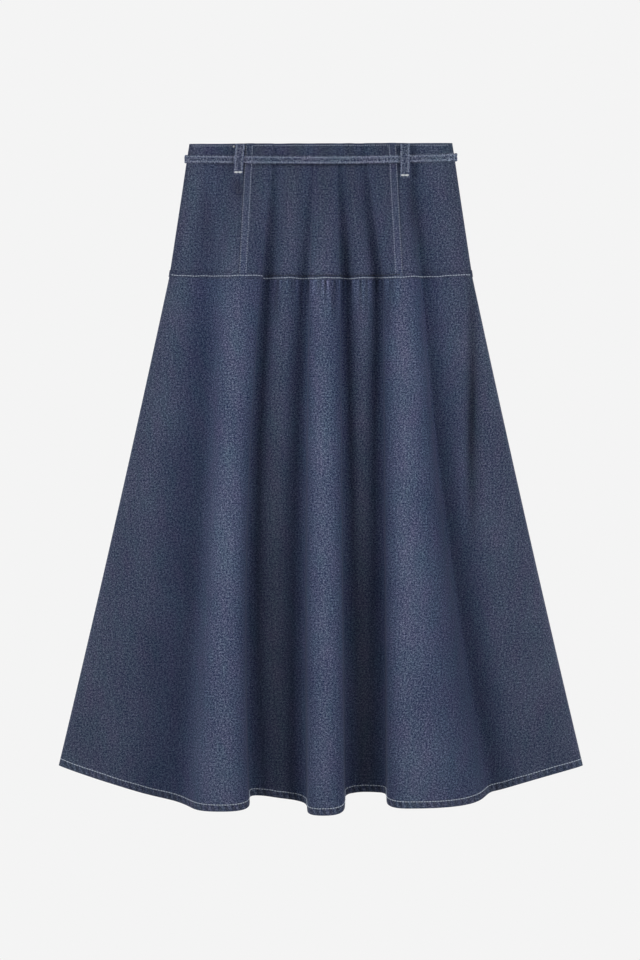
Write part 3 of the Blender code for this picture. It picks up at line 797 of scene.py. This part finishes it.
def skirt_columns():
    """Column numbers about a step apart, measured in the cloth at the hem and at the seam."""
    hem = np.hypot(np.diff(places(HEM_X, FINE_COLUMNS)), np.diff(heights(HEM_Z, FINE_COLUMNS)))
    seam = 2 * np.abs(np.diff(places(SEAM_X, FINE_COLUMNS)))
    run = run_of(np.maximum(hem, seam))
    even = np.linspace(0, run[-1], int(run[-1] / ACROSS_STEP) + 1)
    return np.interp(even, run, FINE_COLUMNS)


def skirt_shares(columns, drop):
    """How far down each column's points are, from 0 to 1: close together at the seam and hem."""
    near = np.arange(0, SEAM_DOWN_DEPTH, SEAM_DOWN_STEP)
    body = np.arange(SEAM_DOWN_DEPTH, drop.min() - 2 * HEM_ROWS[0], DOWN_STEP)
    below = np.concatenate([near, body])
    last = 1 - (HEM_ROWS[0] + HEM_ROWS_CLEAR) / drop
    down = [np.full(len(columns), b / below[-1]) * last for b in below]
    return np.array(down + [1 - above / drop for above in HEM_ROWS])


def roping(run, above):
    """The slanting puckers of a turned hem, from -1 to 1, which die away above its stitches."""
    drift = ROPING_UNEVEN * np.sin(run / ROPING_DRIFT)
    wave = np.sin(2 * pi * (run + ROPING_LEAN * above) / ROPING_PITCH + drift)
    wave = wave * np.clip((HEM_DEPTH + ROPING_PAST_HEM - above) / ROPING_TOP_BLUR, 0, 1)
    return wave * np.clip(above / ROPING_FOOT_BLUR, 0, 1)


def with_hem_wear(fade, run, above):
    """The wear and painted shade, with the hem's even wear and its puckers."""
    share = np.clip((HEM_DEPTH + HEM_FADE_BLUR / 2 - above) / HEM_FADE_BLUR, 0, 1)
    return mix(fade, EDGE_FADE, EDGE_FADE_SHARE * share) * (1 + ROPING_FADE * roping(run, above))


def skirt_wear_shade_and_blue(face, down, column, drop):
    """The wear and painted shade, and the blue, of the front skirt's panel, with its creases,
    gathers and tucks.
    """
    x, y = face[:, :, 0], face[:, :, 1]
    lines_x = through(SEAM_X[:, None], KNEE_X[:, None], HEM_X[:, None], down[:, None, :])
    *levels, blue = between_lines((SEAM_WEAR_AND_SHADE, KNEE_WEAR_AND_SHADE, HEM_WEAR_AND_SHADE, BLUE), column, x, lines_x)
    # worn dye, with a painted highlight on the folds and painted shade in the grooves and creases
    fade = through(*levels, down) * crease_light(x, y)
    at_seam = places(SEAM_X, column)
    # painted highlight on the tops of the gathers and tucks, and painted shade at their feet
    gathers = GATHER_SHADE * gather_height(at_seam, drop * down) / GATHER_HEIGHT
    tucks = TUCK_SHADE * tuck_wave(at_seam, drop * down)
    return fade * (1 + gathers + tucks), blue


def front_skirt():
    columns = skirt_columns()
    drop = skirt_drop(columns)
    down = skirt_shares(columns, drop)
    column = np.broadcast_to(columns, down.shape)
    face = skirt_face(down, column)
    above = drop * (1 - down)
    out = normals(face, True, True)
    turned = above <= HEM_DEPTH + ROUNDING
    lining = face - out * np.where(turned, TURNED, CLOTH)[:, :, None]
    run = run_of(steps_of(face))
    sides = np.clip(np.minimum(run, run[:, -1:] - run) / ROPING_SIDE_BLUR, 0, 1)
    face = face + out * (ROPING_HEIGHT * roping(run, above) * sides)[:, :, None]
    fade, blue = skirt_wear_shade_and_blue(face, down, column, drop)
    fade = with_hem_wear(fade, run, above)
    return wall("front_skirt", face, lining, fade, blue * (above > HEM_DEPTH))


def column_at(down, x):
    return np.interp(x, yoke_face(down, FINE_COLUMNS)[:, 0], FINE_COLUMNS)


def sewn_share(down, x, felled):
    """1 on the raised strips along the yoke's seams and 0 beside them."""
    below = down * YOKE_DEPTH
    ledge = np.clip(below - (YOKE_DEPTH - SEAM_LEDGE_START), 0, 1)
    off = np.abs(np.abs(x) - (panel_seam_x(down) - FELL_WIDTH / 2))
    strip = np.clip(FELL_WIDTH / 2 + FELL_ROUND - off, 0, 1) * felled
    return ledge, strip


def yoke_rise(down, x, felled):
    """How far the yoke's sewn edges stand above its face."""
    ledge, strip = sewn_share(down, x, felled)
    return np.maximum(LEDGE_RISE * ledge, FELL_RISE * strip)


def yoke_edges_light(x, y):
    """Paler along the waist's turned edge, and darker under the middle of the belt, where its shadow
    is painted.
    """
    worn = WAIST_EDGE_FADE * np.clip(1 - (waist_y(x) - y) / WAIST_EDGE, 0, 1)
    below = belt_y(x) - BELT_WIDTH / 2 - y
    shade = BELT_SHADE * (1 - (2 * x / WAIST_ACROSS) ** 2)
    return (1 + worn) * (1 - shade * np.clip(1 - np.abs(below) / BELT_SHADE_DEPTH, 0, 1))


def panel_columns(panel, down):
    """Column numbers across a yoke panel at even steps, measured in the cloth."""
    seam = panel_seam_x(down) + GAP / 2 * (-1 if panel.felled else 1)
    first, last = column_at(down, seam * np.array([panel.left, panel.right]))
    fine = np.linspace(first, last, 8 * panel.columns)
    run = run_of(steps_of(yoke_face(down, fine)))
    return np.interp(np.linspace(0, run[-1], panel.columns), run, fine)


def yoke_panel(panel):
    shares = np.array(YOKE_ROWS) / YOKE_DEPTH
    column = np.array([panel_columns(panel, down) for down in shares])
    down = np.broadcast_to(shares[:, None], column.shape)
    face = yoke_face(down, column)
    x, y = face[:, :, 0], face[:, :, 1]
    out = normals(face, panel.left == -inf, panel.right == inf)
    thick = np.where(down * YOKE_DEPTH <= WAIST_TURN_DEPTH, WAIST_TURNED, CLOTH)
    lining = face - out * thick[:, :, None]
    face = face + out * yoke_rise(down, x, panel.felled)[:, :, None]
    lines_x = mix(WAIST_X[:, None], SEAM_X[:, None], down[:, None, :])
    *levels, blue = between_lines((WAIST_WEAR_AND_SHADE, YOKE_WEAR_AND_SHADE, BLUE), column, x, lines_x)
    ledge, strip = sewn_share(down, x, panel.felled)
    # painted shade along the yoke's turned lower edge, and the felled strips paler with wear
    sewn = (1 - LEDGE_SHADE * ledge) * (1 + FELL_FADE * strip)
    fade = mix(*levels, down) * crease_light(x, y) * sewn * yoke_edges_light(x, y)
    return wall(panel.name, face, lining, fade, YOKE_BLUE * blue)


# ---------------- back


def back_relief(x, y, side):
    """How far the back's soft creases and gathers lift it. Its rolled sides stay where they are."""
    below = np.maximum(SEAM_Y - y, 0)
    gathers = gather_height(-x, below) / GATHER_HEIGHT + np.exp(-below / BACK_GATHER_FALL)
    gathers = np.where(y < SEAM_Y, np.maximum(BACK_GATHER_RISE * gathers, 0), 0)
    rise = crease_depth(x, y, BACK_CREASES) + gathers
    return rise * np.clip((side - EDGE_RADIUS - np.abs(x)) / BACK_RELIEF_BLUR, 0, 1)


def back_line(side, y_of, inset):
    """Points across the back at one height: rolled up at the two sides and flat between."""
    turn = np.linspace(0, pi / 2, BACK_EDGE_ARC + 1)
    flat = side - EDGE_RADIUS
    radius = EDGE_RADIUS - inset
    rolled = flat + radius * np.cos(turn)
    rise = EDGE_RADIUS - radius * np.sin(turn)
    middle = np.linspace(flat, -flat, BACK_COLUMNS + 1)[1:-1]
    x = np.concatenate([rolled, middle, -rolled[::-1]])
    z = np.concatenate([rise, np.full(len(middle), inset), rise[::-1]])
    y = y_of(x)
    level = np.minimum(z, EDGE_RADIUS - GAP) + lift(y) + back_relief(x, y, side)
    return np.stack([x, y, level], axis=-1)


def back_wall(node, rows):
    face = np.array([back_line(side, y_of, 0) for side, y_of, _ in rows])
    lining = np.array([back_line(side, y_of, thick) for side, y_of, thick in rows])
    fade = BACK_FADE * crease_light(face[:, :, 0], face[:, :, 1], BACK_CREASES)
    return wall(node, face, lining, fade)


def back_yoke():
    rows = []
    for below in YOKE_ROWS:
        down = below / YOKE_DEPTH
        side = mix(WAIST_ACROSS, SEAM_ACROSS, down) / 2
        thick = WAIST_TURNED if below <= WAIST_TURN_DEPTH else CLOTH
        rows.append((side, lambda x, s=down: mix(waist_y(x), seam_y(x), s), thick))
    return back_wall("back_yoke", rows)


def back_skirt():
    depth = SEAM_END_Y - CORNER_Y
    near = np.arange(0, SEAM_DOWN_DEPTH, 3 * SEAM_DOWN_STEP)
    body = np.arange(SEAM_DOWN_DEPTH, depth - HEM_ROWS[0] - 4, BACK_STEP)
    rows = []
    for below in (*near, *body, *(depth - above for above in HEM_ROWS)):
        down = below / depth
        side = through(SEAM_ACROSS, KNEE_ACROSS, HEM_ACROSS, down) / 2
        thick = TURNED if below >= depth - HEM_DEPTH else CLOTH
        rows.append((side, lambda x, s=down: mix(seam_y(x) - SEAM_GAP, back_hem_y(x), s), thick))
    return back_wall("back_skirt", rows)


# ---------------- belt and loops


def belt_y(x):
    rise = np.where(x < 0, BELT_RISE_LEFT, BELT_RISE_RIGHT)
    return BELT_Y + rise * (2 * x / WAIST_ACROSS) ** 2


def yoke_outline():
    """Points round the yoke, front and back, over the height that the belt covers."""
    columns = np.linspace(0, LAST, LAST * 6 + 1)
    found = []
    for y in (BELT_Y - BELT_WIDTH / 2, BELT_Y, BELT_Y + BELT_RISE_RIGHT + BELT_WIDTH / 2):
        down = (TOP - y) / (TOP - SEAM_Y)
        found += [(x, z + FELL_RISE) for x, _, z in yoke_face(down, columns)]
        half = np.interp(y, (SEAM_END_Y, TOP), (SEAM_ACROSS, WAIST_ACROSS)) / 2
        for turn in np.linspace(0, pi / 2, BACK_EDGE_ARC + 1):
            x = half - EDGE_RADIUS * (1 - cos(turn))
            z = LIFT_BELT + EDGE_RADIUS * (1 - sin(turn))
            found += [(-x, z), (x, z)]
    return found


def left_turn(a, b, c):
    return (b[0] - a[0]) * (c[1] - a[1]) - (b[1] - a[1]) * (c[0] - a[0])


def taut(points):
    """The closed path that a band pulled tight round the points takes, anticlockwise."""
    ordered = sorted(points)
    halves = []
    for run in (ordered, ordered[::-1]):
        path = []
        for p in run:
            while len(path) > 1 and left_turn(path[-2], path[-1], p) <= 0:
                path.pop()
            path.append(p)
        halves += path[:-1]
    return halves


def band_path():
    """Places round the yoke, the way out at each, and how far along the belt it is."""
    corners = np.array(taut(yoke_outline()))
    corners = np.concatenate([corners, corners[:1]])
    length = run_of(steps_of(corners))[-1]
    at = np.linspace(0, length, int(length / BELT_STEP) + 1)[:-1]
    path = along(corners, at)
    ahead = np.roll(path, -1, axis=0) - np.roll(path, 1, axis=0)
    out = np.stack([ahead[:, 1], -ahead[:, 0]], axis=-1)
    return path, out / np.linalg.norm(out, axis=-1, keepdims=True), at


def both_halves(half, middle=()):
    """A section that is the same on both sides of its middle, from one side."""
    return (*((-at, out) for at, out in half[::-1]), *middle, *half)


# The belt's section: how far up from its middle, and out from the yoke.
BELT_SECTION = both_halves(
    ((1.0, 2.05), (2.3, 2.2), (3.35, 2.0), (4.3, 2.2), (5.0, 1.9), (5.35, 1.3), (5.35, 0.0))
)
BELT_PUCKER = 0.2
BELT_PUCKER_PITCH = 8.6
BELT_PUCKER_LEAN = 0.8
BELT_PUCKER_DRIFT = 40.0
BELT_HALVES_APART = 2  # how far out of step the puckers of its two halves are, in radians
BELT_EDGE_WAVE = 0.35


def belt_points(up, out):
    """Points along the belt, so far up from its middle and out from the yoke."""
    path, ways, at = band_path()
    x = path[:, 0] + ways[:, 0] * (out + GAP)
    return np.stack([x, belt_y(path[:, 0]) + up, path[:, 1] + ways[:, 1] * (out + GAP)], axis=-1)


def belt_wave(up, at):
    """The belt's slanting puckers, from -1 to 1, out of step in its two halves."""
    turns = 2 * pi * (at + BELT_PUCKER_LEAN * up) / BELT_PUCKER_PITCH
    return np.sin(turns + np.sin(at / BELT_PUCKER_DRIFT) + (up > 0) * BELT_HALVES_APART)


def belt_fade(up, at):
    """The belt's fade: its two ridges are worn pale, most on top of their puckers."""
    ridge = np.exp(-(((np.abs(up) - BELT_RIDGE) / BELT_RIDGE_WIDTH) ** 2))
    worn = ridge * (1 + BELT_RIDGE_PUCKER * belt_wave(up, at))
    return BELT_FADE * (1 + BELT_RIDGE_FADE * worn)


def belt_piece():
    at = band_path()[2]
    lines_along = []
    for up, out in BELT_SECTION:
        wave = belt_wave(up, at)
        sunk = BELT_PUCKER * (1 - wave) * (out > 0)
        spread = BELT_EDGE_WAVE * wave * np.sign(up) * (abs(up) > BELT_STITCH)
        lines_along.append(belt_points(up + spread, out - sunk))
    sections = np.stack(lines_along, axis=1)
    count, each = sections.shape[:2]
    index = np.arange(count * each).reshape(count, each)
    faces = tube_faces(np.concatenate([index, index[:1]]))
    obj = add_piece("belt_cloth", sections.reshape(-1, 3), faces, (DENIM_BELT,))
    run, up = np.repeat(at, each), np.tile([u for u, _ in BELT_SECTION], count)
    set_cloth_uv(obj, np.stack([run, up], axis=-1) * MM)
    set_wear_shade_and_blue(obj, belt_fade(up, run), np.zeros(count * each))
    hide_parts("belt")
    return obj


def belt_height(x, front):
    """The height of the belt's outer face at places across the skirt."""
    outer = belt_points(0, BELT_THICK)
    ways = band_path()[1]
    half = outer[(ways[:, 1] > 0) == front]
    half = half[np.argsort(half[:, 0])]
    return np.interp(x, half[:, 0], half[:, 2])


def on_yoke(x, y, front):
    """The height of the yoke's outer side over a few places at one height, and a gap off it."""
    if not front:
        return float(lift(y)) - GAP
    down = (TOP - y) / (TOP - SEAM_Y)
    return yoke_face(down, column_at(down, x))[:, 2].max() + FELL_RISE + GAP


def loop_path(loop, share):
    """The inner side of a loop at shares of its length: x, y and z of its middle."""
    top = TOP - LOOP_TOP_INSET
    foot = top - loop.length
    sides = np.linspace(-LOOP_WIDTH / 2, LOOP_WIDTH / 2, 5)
    belt_faces = belt_height(loop.x_top + sides, loop.front)
    level = belt_faces.max() + GAP if loop.front else belt_faces.min() - GAP
    belt_middle = float(belt_y(loop.x_top))
    clear = BELT_WIDTH / 2 + GAP
    knots = [foot, foot + LOOP_FOOT, belt_middle - clear, belt_middle + clear]
    knots += [top - LOOP_FOOT / 2, top]
    rises = []
    for y in knots:
        x = mix(loop.x_top, loop.x_foot, (top - y) / loop.length)
        over = abs(y - belt_middle) < clear + 1
        rises.append(level if over else on_yoke(x + sides, y, loop.front))
    y = mix(top, foot, share)
    return mix(loop.x_top, loop.x_foot, share), y, np.interp(y, knots, rises)


# A loop's section: how far across from its middle, and out from its inner side.
LOOP_SECTION = both_halves(
    ((1.5, 1.45), (3.2, 1.55), (4.1, 1.35), (5.0, 1.6), (5.7, 1.4), (6.1, 0.9)), [(0.0, 1.45)]
)


def loop_piece(loop):
    away = 1 if loop.front else -1
    x, y, z = loop_path(loop, np.linspace(0, 1, LOOP_ROWS))
    side, out = np.array(LOOP_SECTION).T
    order = slice(None) if loop.front else slice(None, None, -1)
    shape = (LOOP_ROWS, len(side))
    x = x[:, None] + side[order]
    y = np.broadcast_to(y[:, None], shape)
    inner = np.broadcast_to(z[:, None], shape)
    face = np.stack([x, y, inner + away * out[order]], axis=-1)
    lining = np.stack([x, y, inner], axis=-1)
    fade = np.broadcast_to(np.where(np.abs(side) > LOOP_EDGE, LOOP_EDGE_FADE, 1.0), shape)
    return wall(loop.name, face, lining, fade, 0.0, (DENIM_LOOP, DENIM_LOOP))


# ---------------- stitching

STITCH_SUNK = 0.3  # the back's stitches are pressed in, because it lies on them


def up_ways(path, away=1):
    return np.broadcast_to([0.0, 0.0, away], path.shape)


def yoke_row(down, x, felled, rise=0.0):
    """A row of stitches drawn on the front yoke, at places across it a share of the way down."""
    down, x = np.broadcast_arrays(down, x)
    column = np.array([column_at(d, place) for d, place in zip(down, x)])
    rise = rise + yoke_rise(down, x, felled)
    return on_cloth(yoke_face, down, column, rise[:, None])


def seam_line(above, left, right):
    """A row of stitches along the yoke's seam, above it."""
    x = np.linspace(left, right, 400)
    wander = sum(far * np.sin(x / length) for far, length in SEAM_WANDER)
    climb = np.clip((x - SEAM_JOG_FROM) / (SEAM_JOG_X - SEAM_JOG_FROM), 0, 1)
    jog = SEAM_JOG * climb * (x < SEAM_JOG_X)
    return yoke_row(1 - (above + wander + jog) / YOKE_DEPTH, x, False)


def skirt_row(above):
    """A row of stitches along the front hem, above it."""
    column = np.linspace(HEM_ROW_END, LAST - HEM_ROW_END, 700)
    above = above + HEM_WANDER * np.sin(HEM_WANDER_TURN * column)
    return on_cloth(skirt_face, 1 - above / skirt_drop(column), column, STITCH_RISE)


def back_row(half, y_of):
    """A row of stitches across the back's outer side, which faces down."""
    x = np.linspace(half, -half, 200)
    y = y_of(x)
    z = lift(y) + back_relief(x, y, half + EDGE_RADIUS)
    path = np.stack([x, y, z + STITCH_SUNK], axis=-1)
    return path, up_ways(path, -1)


def waist_rows():
    """The tonal rows round the waist, front and back."""
    half = WAIST_ACROSS / 2 - WAIST_INSET
    x = np.linspace(-half, half, 200)
    front = yoke_row(WAIST_STITCH / YOKE_DEPTH, x, False, STITCH_RISE)
    back = back_row(WAIST_ACROSS / 2 - BACK_INSET, lambda x: waist_y(x) - WAIST_STITCH)
    return [front, back]


def fell_rows():
    """The tonal rows down the felled seams."""
    down = np.linspace(0.01, 1 - SEAM_UPPER_STITCH / YOKE_DEPTH, 90)
    rows = []
    for side in (-1, 1):
        for inside in FELL_STITCHES:
            rows.append(yoke_row(down, side * (panel_seam_x(down) - inside), True))
    return rows


def pale_rows():
    """The off-white rows: along the yoke's seam and the hem, front and back."""
    half = SEAM_ACROSS / 2 - SEAM_INSET
    seam = seam_line(SEAM_STITCH, -half, half)
    back_seam = back_row(SEAM_ACROSS / 2 - BACK_INSET, lambda x: seam_y(x) + SEAM_STITCH)
    above = HEM_STITCH * (1 - BACK_HEM_TRIM / (SEAM_END_Y - CORNER_Y))
    back_hem = back_row(HEM_ACROSS / 2 - BACK_HEM_INSET, lambda x: back_hem_y(x) + above)
    return [seam, skirt_row(HEM_STITCH), back_seam, back_hem]


def belt_rows():
    path, ways, _ = band_path()
    way = np.stack([ways[:, 0], np.zeros(len(ways)), ways[:, 1]], axis=-1)
    return [(belt_points(up, BELT_STITCH_OUT), way) for up in (-BELT_STITCH, BELT_STITCH)]


def loop_rows(loop):
    away = 1 if loop.front else -1
    x, y, z = loop_path(loop, np.linspace(0.02, 0.9, 60))
    rows = []
    for side in (-LOOP_STITCH, LOOP_STITCH):
        path = np.stack([x + side, y, z + away * LOOP_STITCH_OUT], axis=-1)
        rows.append((path, up_ways(path, away)))
    return rows


def bars(name, a, b, away, radius, finish):
    """Short bars of thread, each from a point of a to a point of b."""
    ends = [np.concatenate([end, up_ways(end, away)], axis=1) for end in (a, b)]
    return thread_piece(name, stitch_points(*ends, radius), finish)


def thread_end():
    """The knot of white thread that is left on the yoke beside the left loop."""
    x, y = THREAD_END
    z = on_yoke(np.array([x]), y, True) + THREAD_END_RADIUS
    turns = pi * np.arange(THREAD_END_BARS) / THREAD_END_BARS
    ways = np.stack([np.cos(turns), np.sin(turns), 0 * turns], axis=-1) * THREAD_END_HALF
    return bars("thread_end", (x, y, z) - ways, (x, y, z) + ways, 1, THREAD_END_RADIUS, THREAD_WHITE)


def bartack(loop):
    """Close satin stitches in two lobes that hold the loop's foot."""
    away = 1 if loop.front else -1
    share = 1 - (TACK_ABOVE_FOOT + TACK_HEIGHT / 2) / loop.length
    x, y, z = loop_path(loop, share)
    t = (np.arange(TACK_BARS) + 0.5) / TACK_BARS
    side = (t - 0.5) * (LOOP_WIDTH - 2 * TACK_INSET)
    half = TACK_HEIGHT / 2 * mix(TACK_NECK, 1, np.abs(np.sin(2 * pi * t)))
    level = np.full(TACK_BARS, z + away * LOOP_THICK)
    low = np.stack([x + side, y - half, level], axis=-1)
    high = np.stack([x + side + TACK_SLANT, y + half, level], axis=-1)
    return bars(f"{loop.name}_tack", low, high, away, TACK_RADIUS, THREAD_WHITE)


# ---------------- the whole skirt


def yoke_pieces():
    pieces = [yoke_panel(panel) for panel in PANELS]
    ditch = seam_line(SEAM_UPPER_STITCH, GATHER_LEFT, GATHER_RIGHT - UPPER_ROW_SHORT)
    sewn = [
        stitches("waist_stitches", waist_rows(), FINE_STITCH, THREAD_BLUE),
        stitches("fell_stitches", fell_rows(), FELL_STITCH, THREAD_BLUE),
        stitches("upper_seam_stitches", [ditch], DITCH_STITCH, THREAD_DARK),
    ]
    for panel, piece, on_it in zip(PANELS, pieces, ([thread_end()], sewn, [])):
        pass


def skirt_pieces():
    pale = stitches("pale_stitches", pale_rows(), TOPSTITCH, THREAD_PALE)
    front_skirt()
    back_skirt()
    back_yoke()


def belt_pieces():
    rows = stitches("belt_stitches", belt_rows(), FINE_STITCH, THREAD_BLUE)
    belt_piece()
    for loop in LOOPS:
        piece = loop_piece(loop)
        rows = stitches(f"{loop.name}_stitches", loop_rows(loop), FINE_STITCH, THREAD_BLUE)
        bartack(loop)


yoke_pieces()
skirt_pieces()
belt_pieces()


# ---------------- floor, light, camera

FLOOR_HALF = 150.0
FLOOR_Z = -0.0005
FLOOR_LEVEL = 0.905
WORLD_LEVEL = 0.02
Light = namedtuple("Light", "name place size power")
LIGHTS = (
    Light("light_left", (-2.6, 0.2, 1.7), (1.0, 2.2), 62),
    Light("light_right", (2.6, 0.2, 1.7), (1.0, 2.2), 62),
    Light("light_over", (0, 0.3, 4.0), (1.0, 1.0), 25),
)


def link(name, data):
    obj = bpy.data.objects.new(name, data)
    bpy.context.scene.collection.objects.link(obj)
    return obj


def floor():
    sides = ((-1, -1), (1, -1), (1, 1), (-1, 1))
    corners = [(x * FLOOR_HALF, y * FLOOR_HALF, FLOOR_Z) for x, y in sides]
    mesh = bpy.data.meshes.new("floor")
    mesh.from_pydata(corners, [], [(0, 1, 2, 3)])
    n = Nodes("floor_pale")
    look = {"Base Color": rgba(0, 0, 0), "Emission Color": rgba(1, 1, 1)}
    n.surface(look | {"Emission Strength": FLOOR_LEVEL, "Specular IOR Level": 0})
    mesh.materials.append(n.material)
    link("floor", mesh)


def area_light(light):
    data = bpy.data.lights.new(light.name, "AREA")
    data.shape = "RECTANGLE"
    data.size, data.size_y = light.size
    data.energy = light.power
    obj = link(light.name, data)
    obj.location = light.place
    obj.rotation_euler = (-Vector(light.place)).to_track_quat("-Z", "Y").to_euler()


def lights():
    for light in LIGHTS:
        area_light(light)
    world = bpy.data.worlds.new("studio")
    bpy.context.scene.world = world
    world.use_nodes = True
    background = world.node_tree.nodes["Background"].inputs
    background[0].default_value = rgba(1, 1, 1)
    background[1].default_value = WORLD_LEVEL


def camera():
    data = bpy.data.cameras.new("camera")
    data.lens = LENS_MM
    data.sensor_width = SENSOR_MM
    data.clip_end = 2 * FLOOR_HALF
    away = IMAGE_HEIGHT_PX * MM_PER_PX * LENS_MM / SENSOR_MM
    obj = link("camera", data)
    obj.location = (CAMERA_X * MM, CAMERA_Y * MM, away * MM)
    bpy.context.scene.camera = obj


floor()
lights()
camera()
bpy.context.scene.view_settings.view_transform = "Standard"
